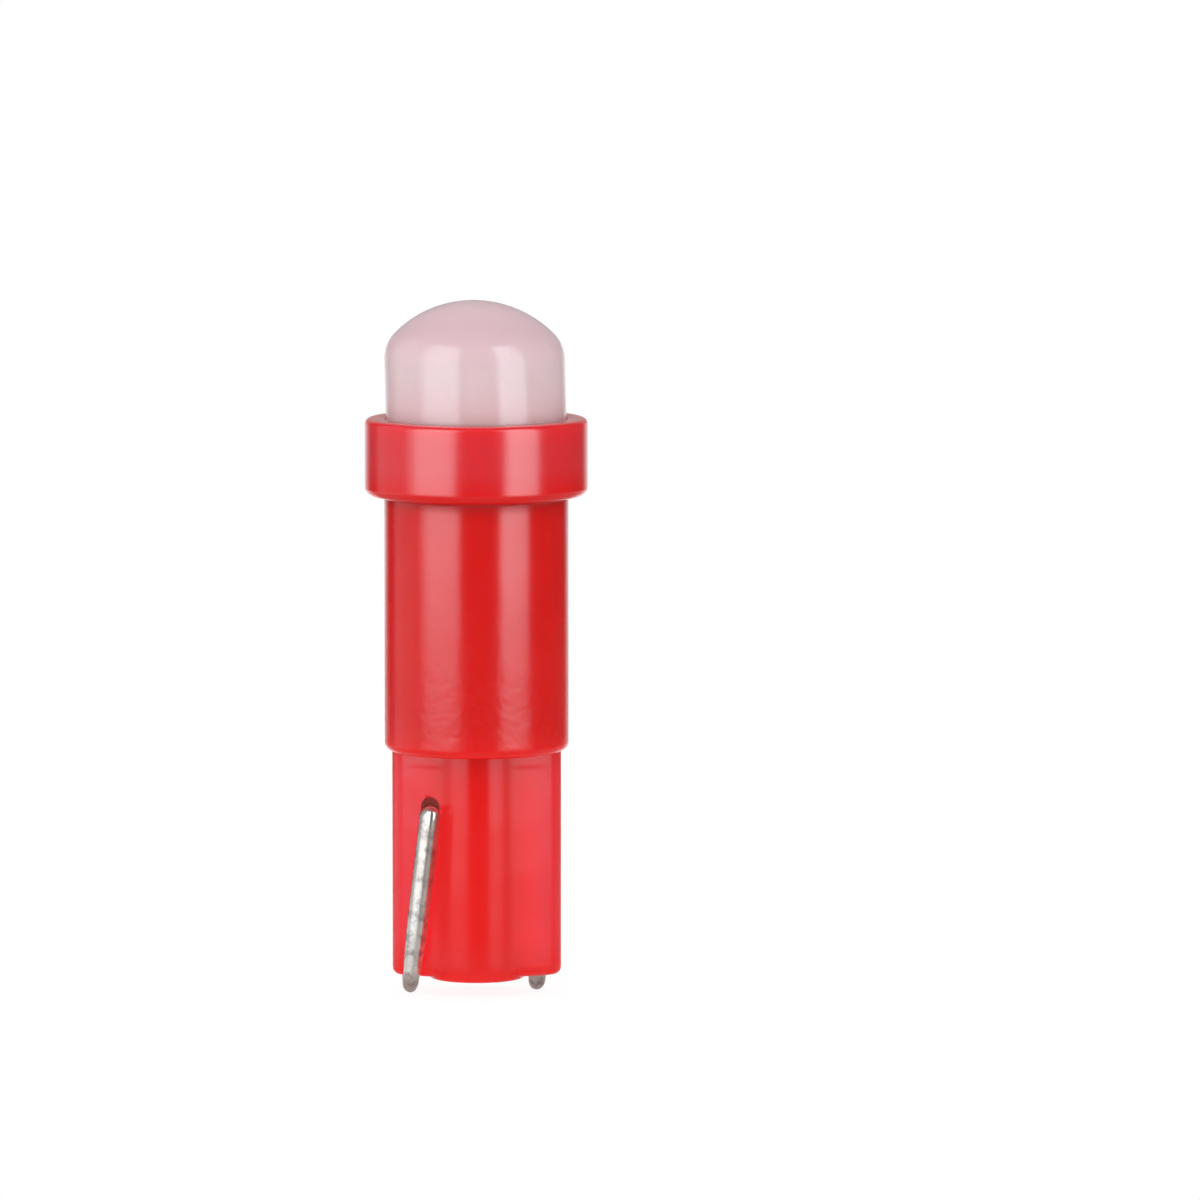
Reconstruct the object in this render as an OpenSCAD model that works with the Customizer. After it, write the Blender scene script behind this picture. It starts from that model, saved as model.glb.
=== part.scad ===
// Wedge-base LED bulb, 5 mm class: a moulded housing with a push-in diffuser, a round board
// with one side-terminal LED, and two wire leads folded round the flat wedge.
// Millimetres. The origin is on the axis at the foot of the wedge. +Z points at the diffuser.

/* [Barrel and collar] */
// Diameter of the barrel
barrel_d = 5; // [4.8:0.1:6.2]
// Height of the barrel, between the wedge and the collar
barrel_h = 6.95; // [5:0.05:9]
// Rounding of the barrel's lower edge
barrel_foot_r = 0.22; // [0.1:0.01:0.25]
// Wall of the barrel round its bore
barrel_wall = 0.5; // [0.4:0.05:0.55]
// Thickness of the floor between the bore and the wedge
floor_t = 0.6; // [0.4:0.05:1.2]
// Height of the collar
collar_h = 2.1; // [1.75:0.05:3]
// Wall of the collar round the diffuser
collar_wall = 0.545; // [0.4:0.005:0.8]
// Rounding of the collar's lower edge
collar_foot_r = 0.25; // [0.1:0.01:0.3]
// Rounding of the collar's upper edge
collar_lip_r = 0.15; // [0.05:0.01:0.2]
// Width of the ledge that carries the board, all round
ledge_w = 0.48; // [0.35:0.01:0.6]
// Height of that ledge above the collar's foot
ledge_h = 0.6; // [0.3:0.05:0.8]

/* [Wedge base] */
// Height of the wedge
wedge_h = 6.25; // [5.2:0.05:8]
// Thickness of the wedge's crowned blade
wedge_t = 2.06; // [1.7:0.02:2.5]
// How far each end of the blade stands back from the barrel's side
wedge_inset = 0.2; // [0:0.01:0.4]
// Radius of the blade's rounded ends
wedge_end_r = 0.6; // [0.5:0.02:0.7]
// Rounding of the blade's lower edge
wedge_foot_r = 0.2; // [0.1:0.01:0.25]
// Diameter of the round column down the middle of the wedge
column_d = 2.65; // [2.2:0.05:3.2]
// How far the column reaches below the blade
column_drop = 0.1; // [0.05:0.01:0.3]
// Rounding of the column's lower edge
column_foot_r = 0.12; // [0.05:0.01:0.2]
// Height of the thicker shoulder at the top of the blade
shoulder_h = 0.38; // [0.2:0.02:0.8]
// How far each end of the shoulder stands back from the blade's end
shoulder_inset = 0.35; // [0.3:0.01:0.6]
// How much the shoulder stands proud of the blade on each face
shoulder_step = 0.06; // [0.03:0.01:0.1]

/* [Diffuser] */
// Height of the diffuser above the collar
dome_rise = 3.2; // [2.6:0.05:5]
// Wall of the diffuser
dome_wall = 0.5; // [0.35:0.05:0.6]
// How much larger the crown's radius is than the diffuser's own
dome_crown_extra = 0.6; // [0.4:0.05:1.2]
// Radius of the shoulder between the crown and the straight side
dome_shoulder_r = 1; // [0.7:0.05:1.4]
// Clearance between the diffuser and its pocket, all round
dome_gap = 0.03; // [0.02:0.01:0.08]

/* [Circuit board] */
// Thickness of the board
board_t = 0.6; // [0.5:0.05:0.8]
// Clearance between the board's rim and its pocket, all round
board_gap = 0.05; // [0.02:0.01:0.1]
// Thickness of the copper on both faces
copper_t = 0.05; // [0.035:0.005:0.1]
// Width of the copper rings round the lead holes
ring_w = 0.14; // [0.08:0.01:0.16]
// Clearance between the rings and the diffuser's skirt
ring_gap = 0.08; // [0.04:0.01:0.15]
// Width of the copper tracks
track_w = 0.3; // [0.15:0.05:0.4]
// Diameter of the hole that takes the current through the board
via_d = 0.2; // [0.15:0.01:0.3]
// Height of a soldered joint on a lead
lead_joint_h = 0.22; // [0.15:0.01:0.3]
// Thickness of the solder at the tip of such a joint
lead_joint_tip = 0.04; // [0.02:0.01:0.08]

/* [LED] */
// Length of the LED package
led_l = 3; // [2.5:0.1:3.2]
// Width of the LED package
led_w = 1.4; // [1.15:0.05:1.5]
// Height of the LED package
led_h = 0.8; // [0.65:0.05:1]
// Thickness of the LED's metal terminals
terminal_t = 0.15; // [0.1:0.01:0.2]
// How far each terminal stands out of the package's end
terminal_reach = 0.12; // [0.05:0.01:0.15]
// How far each side of the package stands past the terminals
terminal_inset = 0.1; // [0.05:0.01:0.15]
// Gap between the two terminals under the package
terminal_gap = 0.25; // [0.15:0.01:0.4]
// Length of the copper pad under each terminal
led_pad_l = 0.7; // [0.5:0.05:1]
// How far each pad reaches past the package's end
led_pad_reach = 0.2; // [0.15:0.01:0.25]
// Wall at the ends of the light cup, at its mouth
cup_end_wall = 0.35; // [0.2:0.01:0.4]
// Wall at the sides of the light cup, at its mouth
cup_side_wall = 0.2; // [0.1:0.01:0.25]
// Slope of the cup's walls, measured from upright
cup_slope = 12; // [5:1:18]
// Side of the square LED die
die_w = 0.36; // [0.25:0.01:0.45]
// Height of the LED die
die_h = 0.14; // [0.1:0.01:0.2]
// Distance of the die from the end of its terminal
die_edge = 0.05; // [0.03:0.01:0.1]
// Diameter of the bond wire
bond_d = 0.04; // [0.03:0.005:0.06]
// Distance of the bond wire's foot from the end of its terminal
bond_edge = 0.12; // [0.08:0.01:0.2]
// Height of the bond wire's arch above the die
bond_rise = 0.17; // [0.12:0.01:0.25]
// Radius of the bond wire's bends
bond_bend_r = 0.1; // [0.05:0.01:0.11]
// Run of the solder at the LED's ends
led_fillet = 0.07; // [0.04:0.01:0.08]

/* [Series resistor] */
// Length of the chip resistor
chip_l = 1.6; // [1.3:0.05:1.9]
// Width of the chip resistor
chip_w = 0.8; // [0.6:0.05:0.95]
// Height of the chip resistor
chip_h = 0.45; // [0.35:0.01:0.6]
// Length of the resistor's plated ends
chip_cap_l = 0.3; // [0.2:0.01:0.4]
// Thickness of the plating on the resistor's ends
chip_cap_t = 0.02; // [0.01:0.005:0.04]
// Distance of the resistor from the line between the leads
chip_y = 1.15; // [1.1:0.01:1.2]
// Length of the copper pad under each end of the resistor
chip_pad_l = 0.62; // [0.55:0.01:0.7]
// Run of the solder at the resistor's ends
chip_fillet = 0.14; // [0.08:0.01:0.15]

/* [Leads] */
// Diameter of the lead wire
lead_d = 0.5; // [0.4:0.01:0.6]
// Clearance between a lead and the moulded channel, saddle and slot that it lies in
lead_gap = 0.03; // [0.02:0.01:0.05]
// How far the turns stand below the foot of the wedge
turn_drop = 0.35; // [0.25:0.01:0.45]
// Length of the straight between the two bends of a turn
turn_flat = 0.2; // [0.05:0.05:0.4]
// How far the outer run leans in from the channel to the slot at its tip
tip_lean = 0.46; // [0.3:0.01:0.6]
// Inside radius of the bend at the tip
tip_bend_in = 0.05; // [0.03:0.01:0.15]
// Distance of the tips below the barrel
tip_drop = 1.75; // [1.3:0.05:3]
// How far the slot stays open above the tip
slot_rise = 0.27; // [0.15:0.01:0.35]
// Distance from the middle of the wedge to the floor of the tip slots
slot_floor_y = 0.36; // [0.34:0.01:0.45]
// Height above the bore's floor at which the leads step in towards the board
jog_z = 1.2; // [1:0.1:2]
// Height over which they step in
jog_h = 0.9; // [0.8:0.1:1.5]
// Radius of the bends of that step, to the middle of the wire
jog_bend_r = 0.6; // [0.4:0.05:0.8]

/* [Hidden] */
$fn = 96;
eps = 0.01;

// Levels, from the foot of the wedge up
bore_z = wedge_h + floor_t;
collar_z = wedge_h + barrel_h;
collar_top_z = collar_z + collar_h;
board_z = collar_z + ledge_h;
board_top_z = board_z + board_t;
dome_top_z = collar_top_z + dome_rise;

// Radii of the housing, from the bore out, and of what stands in its pocket
bore_r = barrel_d / 2 - barrel_wall;
pocket_r = bore_r + ledge_w;
collar_r = pocket_r + collar_wall;
board_r = pocket_r - board_gap;
dome_r = pocket_r - dome_gap;
dome_crown_r = dome_r + dome_crown_extra;

// The wedge's width follows the barrel, and its shoulder follows the wedge
wedge_w = barrel_d - 2 * wedge_inset;
shoulder_w = wedge_w - 2 * shoulder_inset;

// The leads and what they lie in: a channel down each end of the blade, as far out as the bore allows
lead_r = lead_d / 2;
groove_r = lead_r + lead_gap;
ring_r = groove_r + ring_w;
channel_x = min(wedge_w / 2 - wedge_end_r, bore_r - groove_r - eps);
slot_x = channel_x - tip_lean;
tip_y = slot_floor_y + lead_gap;
tip_z = wedge_h - tip_drop;
tip_bend_r = lead_r + tip_bend_in;
turn_z = lead_r - turn_drop;
lead_hole_x = dome_r - dome_wall - ring_gap - ring_r;

// The LED stands on the copper, and its terminals on the board's pads
pad_z = board_top_z + copper_t;
cup_floor_z = pad_z + terminal_t;
terminal_w = led_w - 2 * terminal_inset;
led_pad_y = led_l / 2 + led_pad_reach - led_pad_l / 2;
die_y = -terminal_gap / 2 - die_edge - die_w / 2;
bond_y = terminal_gap / 2 + bond_edge;

// The chip resistor hangs under the board, beside the leads
chip_z = board_z - copper_t;
chip_pad_x = (chip_l - chip_cap_l) / 2;
via_x = -chip_pad_x - chip_pad_l / 2 - via_d / 2;

// ---- Profiles and small solids that more than one piece uses ----

// A disc's half section from the axis out to r, between two heights, with rounded outer corners
module turned_profile(r, low, high, foot_r = 0, lip_r = 0) {
    difference() {
        translate([0, low]) square([r, high - low]);
        if (foot_r > 0) translate([r, low]) corner_waste(foot_r, [-1, 1]);
        if (lip_r > 0) translate([r, high]) corner_waste(lip_r, [-1, -1]);
    }
}

// What is cut off an outer corner at the origin to round it by r; side points into the solid
module corner_waste(r, side) {
    difference() {
        translate([side[0] < 0 ? -r : -eps, side[1] < 0 ? -r : -eps]) square(r + eps);
        translate([side[0] * r, side[1] * r]) circle(r);
    }
}

// A crowned round cap's half section: straight side, shoulder arc and crown arc, each tangent to the next
module cap_profile(r, low, high, crown_r, shoulder_r) {
    crown_z = high - crown_r;
    shoulder_x = r - shoulder_r;
    shoulder_z = crown_z + sqrt(pow(crown_r - shoulder_r, 2) - pow(shoulder_x, 2));
    reach = 2 * crown_r / shoulder_x;
    translate([0, low]) square([r, shoulder_z - low]);
    translate([shoulder_x, shoulder_z]) circle(shoulder_r);
    intersection() {
        translate([0, crown_z]) circle(crown_r);
        polygon([
            [0, crown_z],
            [shoulder_x * reach, crown_z + (shoulder_z - crown_z) * reach],
            [0, crown_z + (shoulder_z - crown_z) * reach],
        ]);
    }
}

// A crowned blade between two heights: two wide arcs for the faces, tangent to two small arcs for the
// ends, with the lower edge rolled by foot_r all round
module crowned_blade(w, t, end_r, low, high, foot_r = 0) {
    end_x = w / 2 - end_r;
    face_r = blade_face_r(w, t, end_r);
    face_y = face_r - t / 2;
    lean = atan2(end_x, face_y);
    far = 2 * t * [sin(lean), cos(lean)];
    intersection() {
        intersection_for (side = [-1, 1])
            translate([0, side * face_y, 0])
                rotate_extrude() turned_profile(face_r, low, high, foot_r);
        translate([0, 0, low - eps]) linear_extrude(high - low + 2 * eps)
            polygon([
                [end_x, 0], [end_x + far[0], far[1]], [-end_x - far[0], far[1]],
                [-end_x, 0], [-end_x - far[0], -far[1]], [end_x + far[0], -far[1]],
            ]);
    }
    for (side = [0, 180])
        rotate([0, 0, side]) intersection() {
            translate([end_x, 0, 0]) rotate_extrude() turned_profile(end_r, low, high, foot_r);
            translate([0, 0, low - eps]) linear_extrude(high - low + 2 * eps)
                polygon([[end_x, 0], [end_x + far[0], -far[1]], [end_x + far[0], far[1]]]);
        }
}

// Radius of a crowned blade's faces, from its width, thickness and end radius
function blade_face_r(w, t, end_r) =
    (pow(w / 2 - end_r, 2) + pow(t / 2, 2) - pow(end_r, 2)) / (t - 2 * end_r);

// A box centred on the axis in X and Y, standing on a height
module standing_box(size, low) {
    translate([-size[0] / 2, -size[1] / 2, low]) cube(size);
}

// A rounded bar in 2D from one point to another
module bar_2d(from, to, w) {
    length = norm(to - from);
    translate(from) rotate(atan2(to[1] - from[1], to[0] - from[0]))
        translate([0, -w / 2]) square([length, w]);
    for (end = [from, to]) translate(end) circle(w / 2);
}

// ---- Bent wire: straight runs joined by circular bends ----

function unit(v) = v / norm(v);
function heading(points, i) = unit(points[i + 1] - points[i]);
function turn(points, i) = acos(min(1, max(-1, heading(points, i - 1) * heading(points, i))));
// The stations along the bend at corner i, each a place and a heading, every 15 degrees or less
function bend_stations(points, i, bend) =
    let (
        before = heading(points, i - 1),
        after = heading(points, i),
        inward = unit(after - (after * before) * before),
        angle = turn(points, i),
        centre = points[i] - before * bend * tan(angle / 2) + inward * bend,
        steps = ceil(angle / 15)
    )
    [for (k = [0 : steps]) let (a = angle * k / steps)
        [centre + bend * (sin(a) * before - cos(a) * inward), cos(a) * before + sin(a) * inward]];
// Every station of a wire through the points, its inner corners bent to the radii in bends
function wire_stations(points, bends) =
    let (last = len(points) - 1)
    [
        [points[0], heading(points, 0)],
        for (i = [1 : last - 1]) each bend_stations(points, i, bends[i - 1]),
        [points[last], heading(points, last - 1)],
    ];
// A direction across the wire at each station, carried along it without twisting
function carried(stations, across, i = 0) =
    let (way = stations[i][1], here = unit(across - (across * way) * way))
    i == len(stations) - 1 ? [here] : concat([here], carried(stations, here, i + 1));

// A wire of radius r swept through the points; across is any direction not along its first run
module bent_wire(points, bends, r, across, sides) {
    stations = wire_stations(points, bends);
    ups = carried(stations, across);
    rings = len(stations);
    skin = [
        for (i = [0 : rings - 1], k = [0 : sides - 1])
            let (a = 360 * k / sides, side = cross(stations[i][1], ups[i]))
            stations[i][0] + r * (cos(a) * ups[i] + sin(a) * side)
    ];
    quads = [
        for (i = [0 : rings - 2], k = [0 : sides - 1])
            let (next = (k + 1) % sides)
            [i * sides + k, (i + 1) * sides + k, (i + 1) * sides + next, i * sides + next]
    ];
    ends = [
        [for (k = [0 : sides - 1]) k],
        [for (k = [sides - 1 : -1 : 0]) (rings - 1) * sides + k],
    ];
    polyhedron(skin, concat(quads, ends));
}

// Where a wire's middle lies when it touches a round face beside the slot, and how far out that
// touching line is at another x. The face has radius r and its own axis at y = back
function rest_y(r, back) = sqrt(max(0, pow(r + groove_r, 2) - pow(slot_x, 2))) + back;
function tangent_y(r, back, x) =
    rest_y(r, back) - (x - slot_x) * slot_x / max(eps, rest_y(r, back) - back);

// The outer run clears both the blade's crown and the column
blade_r = blade_face_r(wedge_w, wedge_t, wedge_end_r);
blade_back = wedge_t / 2 - blade_r;
column_r = column_d / 2;
slot_run_y = max(rest_y(blade_r, blade_back), rest_y(column_r, 0));
foot_run_y = max(tangent_y(blade_r, blade_back, channel_x), tangent_y(column_r, 0, channel_x));
turn_r = (foot_run_y - turn_flat) / 2;

// Corners of the lead on the front left, from the board down, under the wedge and up to its slot
LEAD_PATH = [
    [-lead_hole_x, 0, pad_z + lead_joint_h],
    [-lead_hole_x, 0, bore_z + jog_z + jog_h],
    [-channel_x, 0, bore_z + jog_z],
    [-channel_x, 0, turn_z],
    [-channel_x, -foot_run_y, turn_z],
    [-slot_x, -slot_run_y, tip_z],
    [-slot_x, -tip_y, tip_z],
];
LEAD_BENDS = [jog_bend_r, jog_bend_r, turn_r, turn_r, tip_bend_r];

module lead() {
    color([0.82, 0.8, 0.78]) bent_wire(LEAD_PATH, LEAD_BENDS, lead_r, [1, 0, 0], 24);
}

// What the moulding leaves for that lead: the channel down the blade, its flared mouth across the
// foot, and the slot that takes the tip, round at both ends
module lead_channel() {
    translate([-channel_x, 0, turn_z + turn_r]) cylinder(r = groove_r, h = bore_z);
    translate([-channel_x, -turn_r, turn_z + turn_r]) rotate([90, 90, 90])
        rotate_extrude(angle = 90) translate([turn_r, 0]) circle(groove_r);
    translate([-channel_x, -turn_r, turn_z]) rotate([90, 0, 0]) cylinder(r = groove_r, h = wedge_t);
}

module tip_slot() {
    translate([-slot_x, -slot_floor_y, 0]) rotate([90, 0, 0]) linear_extrude(wedge_t) {
        for (z = [tip_z, tip_z + slot_rise]) translate([0, z]) circle(groove_r);
        translate([-groove_r, tip_z]) square([2 * groove_r, slot_rise]);
    }
}

// ---- Housing: one moulding ----

// Barrel and collar, turned
module barrel_and_collar() {
    rotate_extrude() {
        turned_profile(barrel_d / 2, wedge_h, collar_z + eps, barrel_foot_r);
        turned_profile(collar_r, collar_z, collar_top_z, collar_foot_r, collar_lip_r);
    }
}

// Blade, shoulder and column of the wedge, run up into the barrel's floor
module wedge() {
    top = wedge_h + floor_t / 2;
    crowned_blade(wedge_w, wedge_t, wedge_end_r, column_drop, top, wedge_foot_r);
    intersection() {
        crowned_blade(
            wedge_w + 2 * shoulder_step, wedge_t + 2 * shoulder_step, wedge_end_r + shoulder_step,
            wedge_h - shoulder_h, top
        );
        standing_box([shoulder_w, 2 * wedge_t, wedge_h], wedge_h / 2);
    }
    rotate_extrude() turned_profile(column_r, 0, top, column_foot_r);
}

module housing() {
    color([0.85, 0.15, 0.15]) difference() {
        union() {
            barrel_and_collar();
            wedge();
        }
        translate([0, 0, bore_z]) cylinder(r = bore_r, h = collar_top_z);
        translate([0, 0, board_z]) cylinder(r = pocket_r, h = collar_top_z);
        for (side = [0, 180]) rotate([0, 0, side]) {
            lead_channel();
            tip_slot();
        }
    }
}

// ---- Diffuser: a milky cap whose skirt stands on the board ----

module diffuser() {
    color([0.95, 0.84, 0.86]) rotate_extrude() difference() {
        cap_profile(dome_r, board_top_z, dome_top_z, dome_crown_r, dome_shoulder_r);
        cap_profile(
            dome_r - dome_wall, board_top_z - eps, dome_top_z - dome_wall,
            dome_crown_r - dome_wall, dome_shoulder_r - dome_wall
        );
    }
}

// ---- Circuit board, its copper and its solder ----

module circuit_board() {
    color([0.93, 0.93, 0.88]) difference() {
        translate([0, 0, board_z]) cylinder(r = board_r, h = board_t);
        for (side = [-1, 1])
            translate([side * lead_hole_x, 0, board_z - eps])
                cylinder(r = groove_r, h = board_t + 2 * eps);
        translate([via_x, chip_y, board_z - eps]) cylinder(d = via_d, h = board_t + 2 * eps);
    }
}

// Front side: one pad and track from the front lead, one from the LED's rear end to the via
module upper_copper() {
    difference() {
        union() {
            for (side = [-1, 1]) {
                translate([side * lead_hole_x, 0]) circle(ring_r);
                translate([-terminal_w / 2, side * led_pad_y - led_pad_l / 2])
                    square([terminal_w, led_pad_l]);
            }
            bar_2d([-lead_hole_x, 0], [-terminal_w / 2, -led_pad_y], track_w);
            bar_2d([via_x, chip_y], [-terminal_w / 2, led_pad_y], track_w);
            translate([via_x, chip_y]) circle(via_d);
        }
        for (side = [-1, 1]) translate([side * lead_hole_x, 0]) circle(groove_r);
    }
}

// Back side: from the via through the resistor's two pads to the rear lead
module lower_copper() {
    difference() {
        union() {
            for (side = [-1, 1]) {
                translate([side * lead_hole_x, 0]) circle(ring_r);
                translate([side * chip_pad_x - chip_pad_l / 2, chip_y - chip_w / 2])
                    square([chip_pad_l, chip_w]);
            }
            bar_2d([via_x, chip_y], [-chip_pad_x, chip_y], track_w);
            bar_2d([lead_hole_x, 0], [chip_pad_x, chip_y], track_w);
            translate([via_x, chip_y]) circle(via_d);
        }
        for (side = [-1, 1]) translate([side * lead_hole_x, 0]) circle(groove_r);
    }
}

module copper_tracks() {
    color([0.8, 0.5, 0.3]) {
        translate([0, 0, board_top_z]) linear_extrude(copper_t) upper_copper();
        translate([0, 0, chip_z]) linear_extrude(copper_t) lower_copper();
        translate([via_x, chip_y, chip_z]) cylinder(d = via_d, h = board_t + 2 * copper_t);
    }
}

// A collar of solder round each lead on both faces of the board, flared onto the copper ring
module lead_solder() {
    color([0.78, 0.79, 0.8]) for (side = [-1, 1], under = [false, true]) {
        foot = under ? chip_z : pad_z;
        translate([side * lead_hole_x, 0, foot]) mirror([0, 0, under ? 1 : 0]) difference() {
            cylinder(r1 = ring_r, r2 = lead_r + lead_joint_tip, h = lead_joint_h);
            translate([0, 0, -eps]) cylinder(r = lead_r, h = lead_joint_h + 2 * eps);
        }
    }
}

// A fillet of solder against each end of a chip part: the part's end is at `at`, facing `way` along Y
module end_fillet(w, at, foot, run, rise) {
    translate([-w / 2, at, foot]) rotate([90, 0, 90])
        linear_extrude(w) polygon([[0, 0], [run, 0], [0, rise]]);
}

module chip_solder() {
    color([0.78, 0.79, 0.8]) {
        for (side = [0, 180]) rotate([0, 0, side])
            end_fillet(terminal_w, led_l / 2 + terminal_reach, pad_z, led_fillet, terminal_t);
        translate([0, chip_y, chip_z]) mirror([0, 0, 1]) for (side = [90, 270]) rotate([0, 0, side])
            end_fillet(chip_w, chip_l / 2, 0, chip_fillet, chip_h / 2);
    }
}

// ---- LED: moulded cup, two terminals, die, bond wire and clear gel ----

// The light cup: a trough with cone ends, narrowing downwards to the terminals
module light_cup() {
    depth = led_h - terminal_t;
    inset = depth * tan(cup_slope);
    cup_w = led_w - 2 * cup_side_wall;
    end_y = (led_l - cup_w) / 2 - cup_end_wall;
    translate([0, 0, cup_floor_z]) {
        for (side = [-1, 1]) translate([0, side * end_y, 0])
            cylinder(r1 = cup_w / 2 - inset, r2 = cup_w / 2, h = depth);
        translate([0, end_y, 0]) rotate([90, 0, 0]) linear_extrude(2 * end_y)
            polygon([
                [inset - cup_w / 2, 0], [cup_w / 2 - inset, 0], [cup_w / 2, depth], [-cup_w / 2, depth],
            ]);
    }
}

module led_package() {
    color("white") difference() {
        standing_box([led_w, led_l, led_h], pad_z);
        light_cup();
        led_front_terminal();
        led_rear_terminal();
    }
}

// Each terminal is a flat strip let into the package's underside, standing out at its end
module terminal_strip(from, to) {
    translate([-terminal_w / 2, from, pad_z]) cube([terminal_w, to - from, terminal_t]);
}

module led_front_terminal() {
    color("silver") terminal_strip(-led_l / 2 - terminal_reach, -terminal_gap / 2);
}

module led_rear_terminal() {
    color("silver") terminal_strip(terminal_gap / 2, led_l / 2 + terminal_reach);
}

// The die sits on the front terminal
module led_die() {
    color("gold") translate([0, die_y, 0]) standing_box([die_w, die_w, die_h], cup_floor_z);
}

// The bond wire arches from the die's top to the rear terminal
module bond_wire() {
    arch_z = cup_floor_z + die_h + bond_rise;
    bond_path = [
        [0, die_y, cup_floor_z + die_h], [0, die_y, arch_z], [0, bond_y, arch_z], [0, bond_y, cup_floor_z],
    ];
    color("goldenrod") bent_wire(bond_path, [bond_bend_r, bond_bend_r], bond_d / 2, [1, 0, 0], 8);
}

module led_gel() {
    color([1, 0.8, 0.7, 0.6]) difference() {
        light_cup();
        led_die();
        bond_wire();
    }
}

// ---- Series resistor, a ceramic chip with plated ends ----

module series_resistor() {
    color([0.15, 0.15, 0.17]) translate([0, chip_y, chip_z]) mirror([0, 0, 1]) {
        standing_box([chip_l - 2 * chip_cap_t, chip_w - 2 * chip_cap_t, chip_h - chip_cap_t], chip_cap_t);
        for (side = [-1, 1]) translate([side * (chip_l - chip_cap_l) / 2, 0, 0])
            standing_box([chip_cap_l, chip_w, chip_h], 0);
    }
}

// ---- Leads: tinned wire, soldered to the board and folded round the wedge ----

module front_lead() {
    lead();
}

module rear_lead() {
    rotate([0, 0, 180]) lead();
}

housing();
diffuser();
circuit_board();
copper_tracks();
led_package();
led_front_terminal();
led_rear_terminal();
led_die();
bond_wire();
led_gel();
series_resistor();
chip_solder();
lead_solder();
front_lead();
rear_lead();
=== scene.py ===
"""Looks of a small wedge-base LED bulb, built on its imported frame."""
import math

import bmesh
import bpy
import numpy as np
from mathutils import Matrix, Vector


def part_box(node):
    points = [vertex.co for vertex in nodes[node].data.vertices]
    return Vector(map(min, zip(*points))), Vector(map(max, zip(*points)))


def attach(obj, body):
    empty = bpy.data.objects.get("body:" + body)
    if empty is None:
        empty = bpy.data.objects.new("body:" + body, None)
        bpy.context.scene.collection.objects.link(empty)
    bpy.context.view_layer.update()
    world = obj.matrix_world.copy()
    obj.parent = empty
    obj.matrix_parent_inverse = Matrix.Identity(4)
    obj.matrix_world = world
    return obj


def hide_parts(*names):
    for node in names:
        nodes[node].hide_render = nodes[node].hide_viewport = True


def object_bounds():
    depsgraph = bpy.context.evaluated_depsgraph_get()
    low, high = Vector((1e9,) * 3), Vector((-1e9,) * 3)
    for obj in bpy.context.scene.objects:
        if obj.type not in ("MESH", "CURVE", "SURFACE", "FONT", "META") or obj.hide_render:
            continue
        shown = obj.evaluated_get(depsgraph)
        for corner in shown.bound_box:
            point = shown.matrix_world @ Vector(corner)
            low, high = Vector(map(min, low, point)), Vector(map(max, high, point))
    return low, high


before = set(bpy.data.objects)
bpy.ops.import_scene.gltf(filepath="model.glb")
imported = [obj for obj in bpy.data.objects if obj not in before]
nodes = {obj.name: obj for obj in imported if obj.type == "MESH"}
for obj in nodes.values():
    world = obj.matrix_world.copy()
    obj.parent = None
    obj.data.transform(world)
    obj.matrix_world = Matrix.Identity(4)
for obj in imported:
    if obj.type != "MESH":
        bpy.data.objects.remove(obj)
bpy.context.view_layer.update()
mm = 0.001


# ---- Housing ----
# One moulding in clear-tinted red thermoplastic. A turned barrel and collar stand on a flat crowned
# wedge with a round column down its middle. The bore takes the board, the collar takes the diffuser.
# Its sizes repeat those of the CAD, apart from the slots, the shoulder and the column's fillet.

barrel_r = 2.5 * mm
bore_r = 2.0 * mm
pocket_r = 2.48 * mm
collar_r = 3.025 * mm
wedge_top = 6.25 * mm
bore_floor = 6.85 * mm
collar_foot = 13.2 * mm
ledge_z = 13.8 * mm
collar_top = 15.3 * mm

blade_w = 4.6 * mm
blade_t = 2.06 * mm
blade_end_r = 0.6 * mm
blade_foot_z = 0.1 * mm
blade_foot_r = 0.2 * mm
column_r = 1.325 * mm
column_foot_r = 0.12 * mm
column_fillet = 0.13 * mm
shoulder_h = 0.38 * mm
shoulder_half_w = 1.95 * mm
shoulder_step = 0.004 * mm
barrel_foot_r = 0.22 * mm

channel_x = 1.7 * mm
slot_x = 1.26 * mm
groove_r = 0.28 * mm
turn_z = -0.1 * mm
turn_r = 0.4 * mm
tip_z = 4.5 * mm
slot_r = 0.245 * mm
slot_rise = 0.29 * mm
slot_floor_y = 0.36 * mm
slot_flare = 0.02 * mm

blade_end_x = blade_w / 2 - blade_end_r
blade_face_r = (blade_end_x**2 + blade_t**2 / 4 - blade_end_r**2) / (blade_t - 2 * blade_end_r)
blade_face_y = blade_face_r - blade_t / 2
blade_lean = math.atan2(blade_end_x, blade_face_y)


def smooth_low(a, b, r):
    """The lower of two distances, rounded where they cross over a width of r."""
    h = np.clip(0.5 + 0.5 * (b - a) / r, 0, 1)
    return b + (a - b) * h - r * h * (1 - h)


def ramp(x, start, end):
    """0 before start, 1 after end, and a smooth S between them."""
    t = np.clip((x - start) / (end - start), 0, 1)
    return t * t * (3 - 2 * t)


def rolled_inset(depth, r):
    """How far an edge rolled to radius r stands back at a depth from its end.

    That is r - sqrt(r^2 - (r - depth)^2)."""
    left = np.clip(r - depth, 0, r)
    return r - np.sqrt(r**2 - left**2)


def blade_distance(x, y):
    """Distance from the blade's outline in plan: two wide face arcs tangent to two small end arcs."""
    x, y = np.abs(x), np.abs(y)
    past_end = (x - blade_end_x) * math.cos(blade_lean) - y * math.sin(blade_lean) > 0
    to_end = np.hypot(x - blade_end_x, y) - blade_end_r
    to_face = np.hypot(x, y + blade_face_y) - blade_face_r
    return np.where(past_end, to_end, to_face)


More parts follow.
